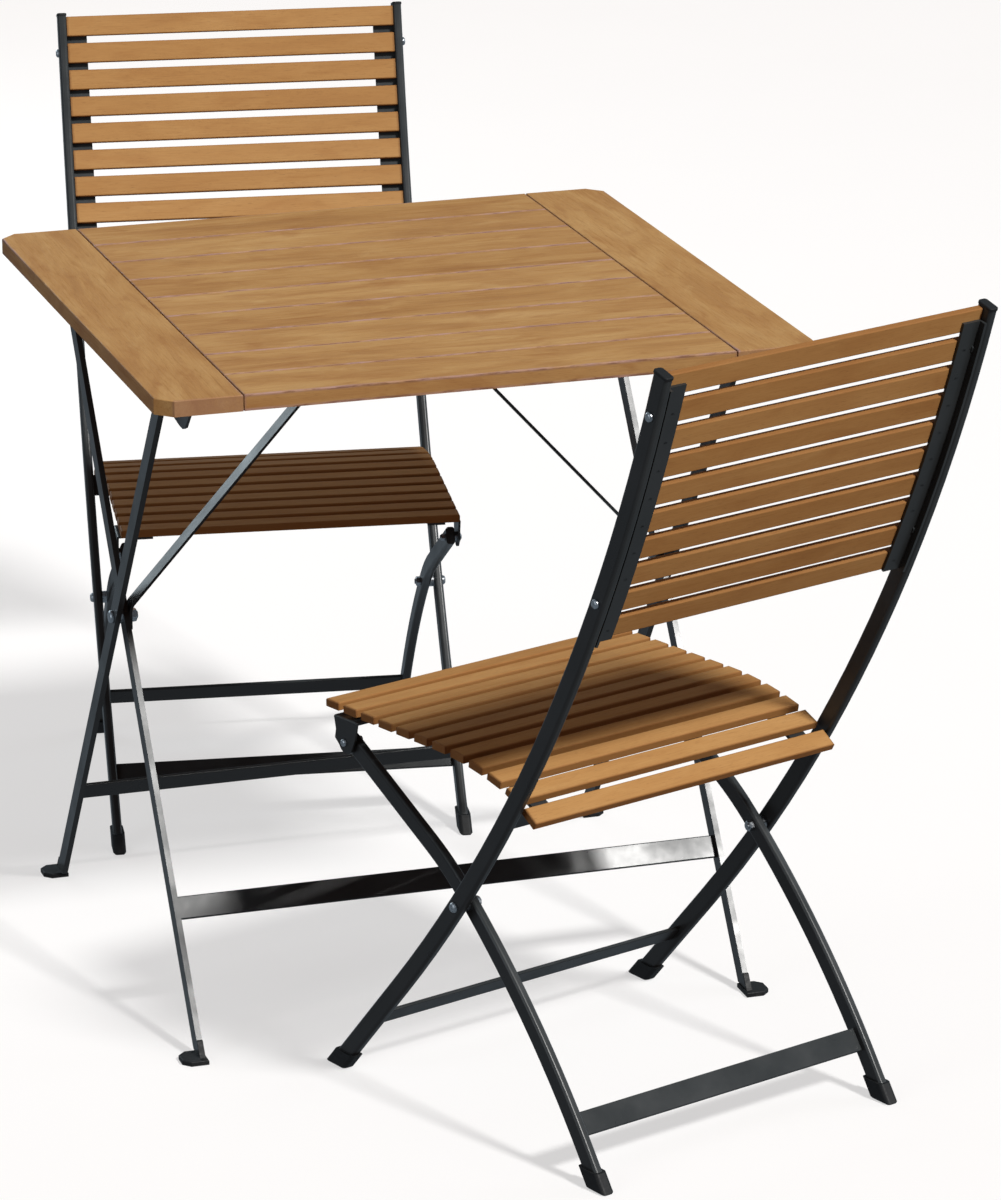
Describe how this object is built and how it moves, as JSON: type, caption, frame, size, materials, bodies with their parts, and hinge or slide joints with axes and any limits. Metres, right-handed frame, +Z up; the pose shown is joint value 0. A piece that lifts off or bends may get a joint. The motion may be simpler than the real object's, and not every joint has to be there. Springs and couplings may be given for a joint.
{
  "type": "folding patio dining set",
  "caption": "Outdoor dining set: a square slatted folding table on crossed steel legs with slatted folding chairs drawn up to it.",
  "frame": {"origin": "on the ground at the middle of the set's outline", "axes": "+X along the table's slats, +Y from the front chair towards the rear chair, +Z up"},
  "size_m": [0.744, 1.7177, 0.8676],
  "materials": {
    "oiled_wood": "oiled hardwood with visible grain and slightly worn edges",
    "coated_steel": "anthracite powder coat, satin",
    "black_plastic": "matte moulded plastic",
    "zinc_steel": "zinc plated, slightly dull"
  },
  "bodies": {
    "table_inner_frame": {"table_inner_leg_left": "coated_steel", "table_inner_leg_right": "coated_steel", "table_inner_crossbar": "coated_steel", "table_inner_top_rod": "coated_steel", "table_inner_feet": "black_plastic", "table_pivot_bolts": "zinc_steel"},
    "table_outer_frame": {"table_outer_leg_left": "coated_steel", "table_outer_leg_right": "coated_steel", "table_outer_crossbar": "coated_steel", "table_outer_top_rod": "coated_steel", "table_outer_feet": "black_plastic"},
    "table_top": {"table_end_board_left": "oiled_wood", "table_end_board_right": "oiled_wood", "table_slats": "oiled_wood", "table_strap_left": "coated_steel", "table_strap_centre": "coated_steel", "table_strap_right": "coated_steel", "table_hinge_plates": "coated_steel", "table_catch_plates": "coated_steel", "table_top_screws": "zinc_steel"},
    "table_brace": {"table_brace_left": "coated_steel", "table_brace_right": "coated_steel", "table_brace_stud": "coated_steel"},
    "front_chair_frame": {"front_chair_main_tube_left": "coated_steel", "front_chair_main_tube_right": "coated_steel", "front_chair_tube_caps": "black_plastic", "front_chair_front_foot_caps": "black_plastic", "front_chair_front_crossbar": "coated_steel", "front_chair_seat_rest_bar": "coated_steel", "front_chair_back_angles": "coated_steel", "front_chair_back_slats": "oiled_wood", "front_chair_back_fixings": "zinc_steel", "front_chair_pivot_bolts": "zinc_steel"},
    "front_chair_rear_legs": {"front_chair_rear_leg_left": "coated_steel", "front_chair_rear_leg_right": "coated_steel", "front_chair_rear_crossbar": "coated_steel", "front_chair_rear_foot_caps": "black_plastic"},
    "front_chair_seat": {"front_chair_seat_rails": "coated_steel", "front_chair_seat_slats": "oiled_wood", "front_chair_seat_brackets": "coated_steel", "front_chair_seat_fixings": "zinc_steel"},
    "rear_chair_frame": {"rear_chair_main_tube_left": "coated_steel", "rear_chair_main_tube_right": "coated_steel", "rear_chair_tube_caps": "black_plastic", "rear_chair_front_foot_caps": "black_plastic", "rear_chair_front_crossbar": "coated_steel", "rear_chair_seat_rest_bar": "coated_steel", "rear_chair_back_angles": "coated_steel", "rear_chair_back_slats": "oiled_wood", "rear_chair_back_fixings": "zinc_steel", "rear_chair_pivot_bolts": "zinc_steel"},
    "rear_chair_rear_legs": {"rear_chair_rear_leg_left": "coated_steel", "rear_chair_rear_leg_right": "coated_steel", "rear_chair_rear_crossbar": "coated_steel", "rear_chair_rear_foot_caps": "black_plastic"},
    "rear_chair_seat": {"rear_chair_seat_rails": "coated_steel", "rear_chair_seat_slats": "oiled_wood", "rear_chair_seat_brackets": "coated_steel", "rear_chair_seat_fixings": "zinc_steel"}
  },
  "joints": [
    {"name": "table_leg_fold", "type": "hinge", "parent": "table_inner_frame", "child": "table_outer_frame", "pos_m": [-0.024, -0.01, 0.397], "axis": [-1, 0, 0], "range_deg": [0, 64]},
    {"name": "table_top_tilt", "type": "hinge", "parent": "table_inner_frame", "child": "table_top", "pos_m": [-0.024, 0.21188, 0.705], "axis": [-1, 0, 0], "range_deg": [0, 36]},
    {"name": "table_brace_fold", "type": "hinge", "parent": "table_inner_frame", "child": "table_brace", "pos_m": [-0.024, -0.01, 0.397], "axis": [-1, 0, 0], "range_deg": [0, 32]},
    {"name": "front_chair_pull_out", "type": "slide", "parent": "table_inner_frame", "child": "front_chair_frame", "axis": [0.3331, -0.9429, 0], "range_m": [0, 0.3]},
    {"name": "front_chair_leg_fold", "type": "hinge", "parent": "front_chair_frame", "child": "front_chair_rear_legs", "pos_m": [0.06653, -0.48062, 0.2388], "axis": [0.9429, 0.3331, 0], "range_deg": [0, 78]},
    {"name": "front_chair_seat_fold", "type": "hinge", "parent": "front_chair_rear_legs", "child": "front_chair_seat", "pos_m": [0.00004, -0.29242, 0.355], "axis": [-0.9429, -0.3331, 0], "range_deg": [0, 142]},
    {"name": "rear_chair_pull_out", "type": "slide", "parent": "table_inner_frame", "child": "rear_chair_frame", "axis": [0.1526, 0.9883, 0], "range_m": [0, 0.3]},
    {"name": "rear_chair_leg_fold", "type": "hinge", "parent": "rear_chair_frame", "child": "rear_chair_rear_legs", "pos_m": [-0.02726, 0.50137, 0.2388], "axis": [-0.9883, 0.1526, 0], "range_deg": [0, 78]},
    {"name": "rear_chair_seat_fold", "type": "hinge", "parent": "rear_chair_rear_legs", "child": "rear_chair_seat", "pos_m": [-0.05772, 0.30411, 0.355], "axis": [0.9883, -0.1526, 0], "range_deg": [0, 142]}
  ],
  "couplings": [
    {"joint": "table_top_tilt", "follows": "table_leg_fold", "ratio": 0.55},
    {"joint": "table_brace_fold", "follows": "table_leg_fold", "ratio": 0.49},
    {"joint": "front_chair_seat_fold", "follows": "front_chair_leg_fold", "ratio": 1.81},
    {"joint": "rear_chair_seat_fold", "follows": "rear_chair_leg_fold", "ratio": 1.81}
  ]
}
